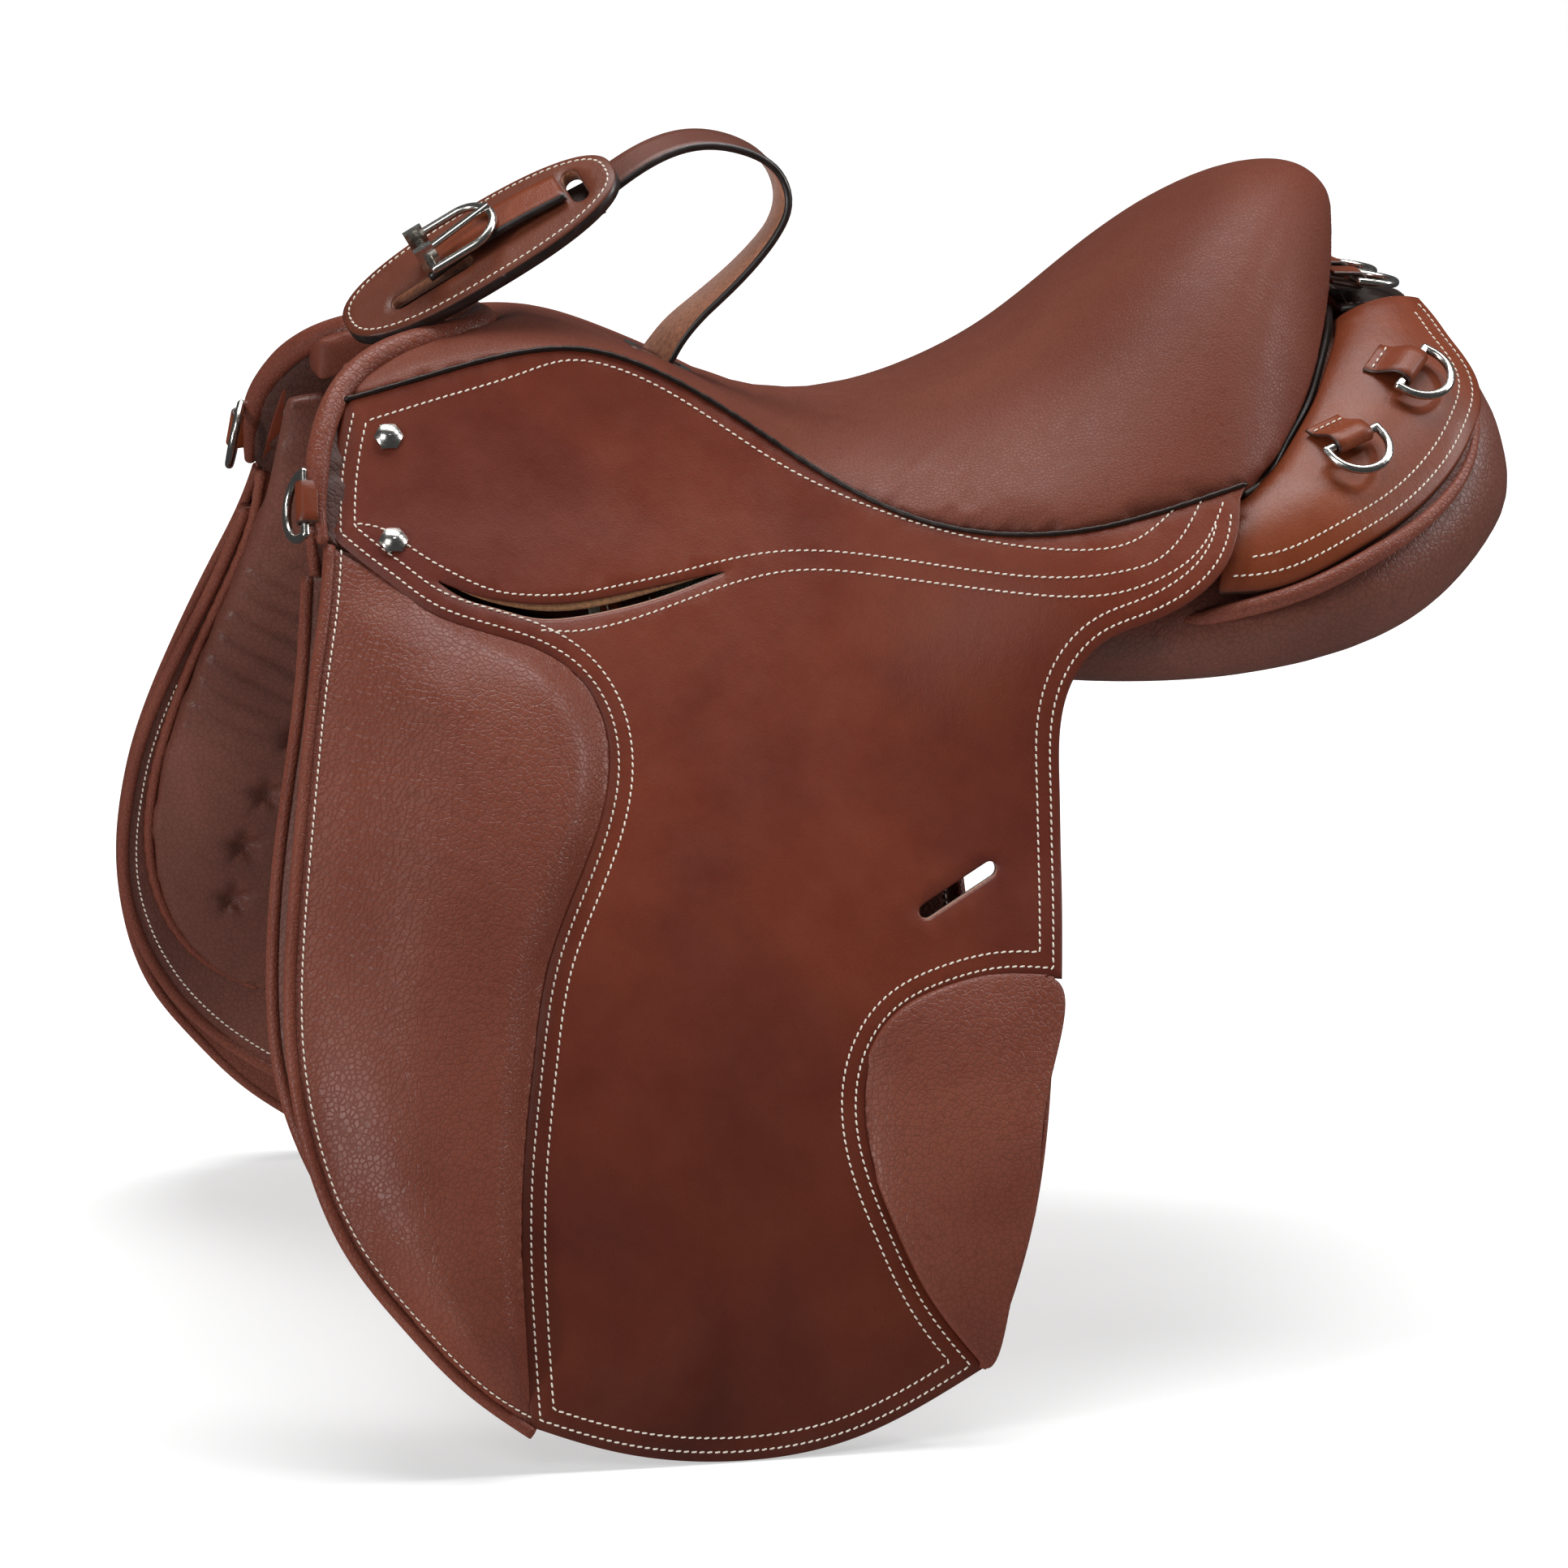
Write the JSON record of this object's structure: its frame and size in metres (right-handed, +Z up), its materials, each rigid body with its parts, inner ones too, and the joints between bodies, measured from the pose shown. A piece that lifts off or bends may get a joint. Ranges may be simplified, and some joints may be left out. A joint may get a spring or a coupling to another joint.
{
  "type": "english saddle",
  "caption": "English riding saddle with cut-back head, draped flaps on hidden hinges of leather, padded rolls and panels, dee rings, girth straps and a buckled hand-hold strap.",
  "frame": {"origin": "on the plane of symmetry, level with the panels' bearing beside the gullet, below the middle of the seat", "axes": "+X towards the cantle, -X towards the head, -Y the near (left) side, +Z up"},
  "size_m": [0.5701, 0.5486, 0.5369],
  "materials": {
    "seat_leather": "satin calf, pinkish mid brown",
    "bridle_leather": "waxed bridle leather, glossy, mottled reddish brown",
    "soft_leather": "pebbled soft leather with creases",
    "dark_leather": "dark edge dressing and rolls",
    "raw_leather": "undyed flesh side",
    "foam": "moulded seat stuffing",
    "web": "woven linen web",
    "tree_wood": "laminated beech",
    "steel": "forged steel",
    "nickel": "polished nickel plate"
  },
  "bodies": {
    "saddle": {"bar_rivets": "steel", "billet_rivets": "nickel", "billet_web_near": "web", "billet_web_off": "web", "buckle_hold": "nickel", "cantle_facing": "bridle_leather", "catch_pins": "steel", "dee_keepers": "bridle_leather", "gullet_lining": "dark_leather", "head_plate": "steel", "knee_panel_near": "soft_leather", "knee_panel_off": "soft_leather", "oval_safe": "bridle_leather", "pommel_roll": "soft_leather", "rear_bridge": "dark_leather", "rear_panel_near": "soft_leather", "rear_panel_off": "soft_leather", "rear_skirt_near": "bridle_leather", "rear_skirt_off": "bridle_leather", "seat_cover": "seat_leather", "seat_foam": "foam", "seat_webbing": "web", "seat_welt_near": "dark_leather", "seat_welt_off": "dark_leather", "skirt_nails": "nickel", "skirt_near": "bridle_leather", "skirt_off": "bridle_leather", "slot_plate": "nickel", "stirrup_bar_near": "steel", "stirrup_bar_off": "steel", "strap_anchor": "bridle_leather", "strap_loop": "bridle_leather", "strap_tail": "bridle_leather", "sweat_flap_near": "bridle_leather", "sweat_flap_off": "bridle_leather", "tree": "tree_wood"},
    "flap_near": {"flap_near": "bridle_leather", "flap_lining_near": "raw_leather", "thigh_roll_near": "soft_leather", "calf_pad_near": "soft_leather"},
    "bar_catch_near": {"bar_catch_near": "steel"},
    "billet_front_near": {"billet_front_near": "bridle_leather"},
    "billet_rear_near": {"billet_rear_near": "bridle_leather"},
    "front_dee_near": {"front_dee_near": "nickel"},
    "rear_dee_low_near": {"rear_dee_low_near": "nickel"},
    "rear_dee_high_near": {"rear_dee_high_near": "nickel"},
    "cantle_dee_near": {"cantle_dee_near": "nickel"},
    "flap_off": {"flap_off": "bridle_leather", "flap_lining_off": "raw_leather", "thigh_roll_off": "soft_leather", "calf_pad_off": "soft_leather"},
    "bar_catch_off": {"bar_catch_off": "steel"},
    "billet_front_off": {"billet_front_off": "bridle_leather"},
    "billet_rear_off": {"billet_rear_off": "bridle_leather"},
    "front_dee_off": {"front_dee_off": "nickel"},
    "rear_dee_low_off": {"rear_dee_low_off": "nickel"},
    "rear_dee_high_off": {"rear_dee_high_off": "nickel"},
    "cantle_dee_off": {"cantle_dee_off": "nickel"},
    "buckle_frame": {"buckle_frame": "nickel"},
    "buckle_tongue": {"buckle_tongue": "nickel"}
  },
  "joints": [
    {"name": "flap_lift_near", "type": "hinge", "parent": "saddle", "child": "flap_near", "pos_m": [-0.2, -0.108, 0.047], "axis": [-0.9811, 0.1678, 0.0968], "range_deg": [0, 75]},
    {"name": "flap_lift_off", "type": "hinge", "parent": "saddle", "child": "flap_off", "pos_m": [-0.2, 0.108, 0.047], "axis": [0.9811, 0.1678, -0.0968], "range_deg": [0, 75]},
    {"name": "bar_catch_turn_near", "type": "hinge", "parent": "saddle", "child": "bar_catch_near", "pos_m": [-0.062, -0.10075, 0.05815], "axis": [0, -0.7992, 0.6011], "range_deg": [0, 90]},
    {"name": "bar_catch_turn_off", "type": "hinge", "parent": "saddle", "child": "bar_catch_off", "pos_m": [-0.062, 0.10075, 0.05815], "axis": [0, -0.7992, -0.6011], "range_deg": [0, 90]},
    {"name": "billet_front_swing_near", "type": "hinge", "parent": "saddle", "child": "billet_front_near", "pos_m": [-0.095, -0.11473, 0.031], "axis": [0, -0.8146, 0.58], "range_deg": [-6, 6]},
    {"name": "billet_front_swing_off", "type": "hinge", "parent": "saddle", "child": "billet_front_off", "pos_m": [-0.095, 0.11473, 0.031], "axis": [0, -0.8146, -0.58], "range_deg": [-6, 6]},
    {"name": "billet_rear_swing_near", "type": "hinge", "parent": "saddle", "child": "billet_rear_near", "pos_m": [-0.015, -0.11592, 0.031], "axis": [-0.1238, -0.8111, 0.5717], "range_deg": [-6, 6]},
    {"name": "billet_rear_swing_off", "type": "hinge", "parent": "saddle", "child": "billet_rear_off", "pos_m": [-0.015, 0.11592, 0.031], "axis": [0.1238, -0.8111, -0.5717], "range_deg": [-6, 6]},
    {"name": "front_dee_swing_near", "type": "hinge", "parent": "saddle", "child": "front_dee_near", "pos_m": [-0.2345, -0.097, 0.077], "axis": [0.0667, 0.5291, 0.8459], "range_deg": [0, 100]},
    {"name": "front_dee_swing_off", "type": "hinge", "parent": "saddle", "child": "front_dee_off", "pos_m": [-0.2345, 0.097, 0.077], "axis": [-0.0667, 0.5291, -0.8459], "range_deg": [0, 100]},
    {"name": "rear_dee_low_lift_near", "type": "hinge", "parent": "saddle", "child": "rear_dee_low_near", "pos_m": [0.22885, -0.12695, 0.09275], "axis": [-0.8959, -0.3478, -0.2764], "range_deg": [0, 120]},
    {"name": "rear_dee_low_lift_off", "type": "hinge", "parent": "saddle", "child": "rear_dee_low_off", "pos_m": [0.22885, 0.12695, 0.09275], "axis": [0.8959, -0.3478, 0.2764], "range_deg": [0, 120]},
    {"name": "rear_dee_high_lift_near", "type": "hinge", "parent": "saddle", "child": "rear_dee_high_near", "pos_m": [0.26608, -0.09381, 0.11814], "axis": [-0.6109, -0.6413, -0.4643], "range_deg": [0, 120]},
    {"name": "rear_dee_high_lift_off", "type": "hinge", "parent": "saddle", "child": "rear_dee_high_off", "pos_m": [0.26608, 0.09381, 0.11814], "axis": [0.6109, -0.6413, 0.4643], "range_deg": [0, 120]},
    {"name": "cantle_dee_lift_near", "type": "hinge", "parent": "saddle", "child": "cantle_dee_near", "pos_m": [0.262, -0.017, 0.147], "axis": [-0.0981, -0.9951, 0.0118], "range_deg": [0, 120]},
    {"name": "cantle_dee_lift_off", "type": "hinge", "parent": "saddle", "child": "cantle_dee_off", "pos_m": [0.262, 0.017, 0.147], "axis": [0.0981, -0.9951, -0.0118], "range_deg": [0, 120]},
    {"name": "buckle_frame_lift", "type": "hinge", "parent": "saddle", "child": "buckle_frame", "pos_m": [-0.16629, -0.01677, 0.17242], "axis": [0.145, -0.9113, -0.3853], "range_deg": [0, 60]},
    {"name": "buckle_tongue_lift", "type": "hinge", "parent": "buckle_frame", "child": "buckle_tongue", "pos_m": [-0.16629, -0.01677, 0.17242], "axis": [0.145, -0.9113, -0.3853], "range_deg": [0, 60]}
  ]
}
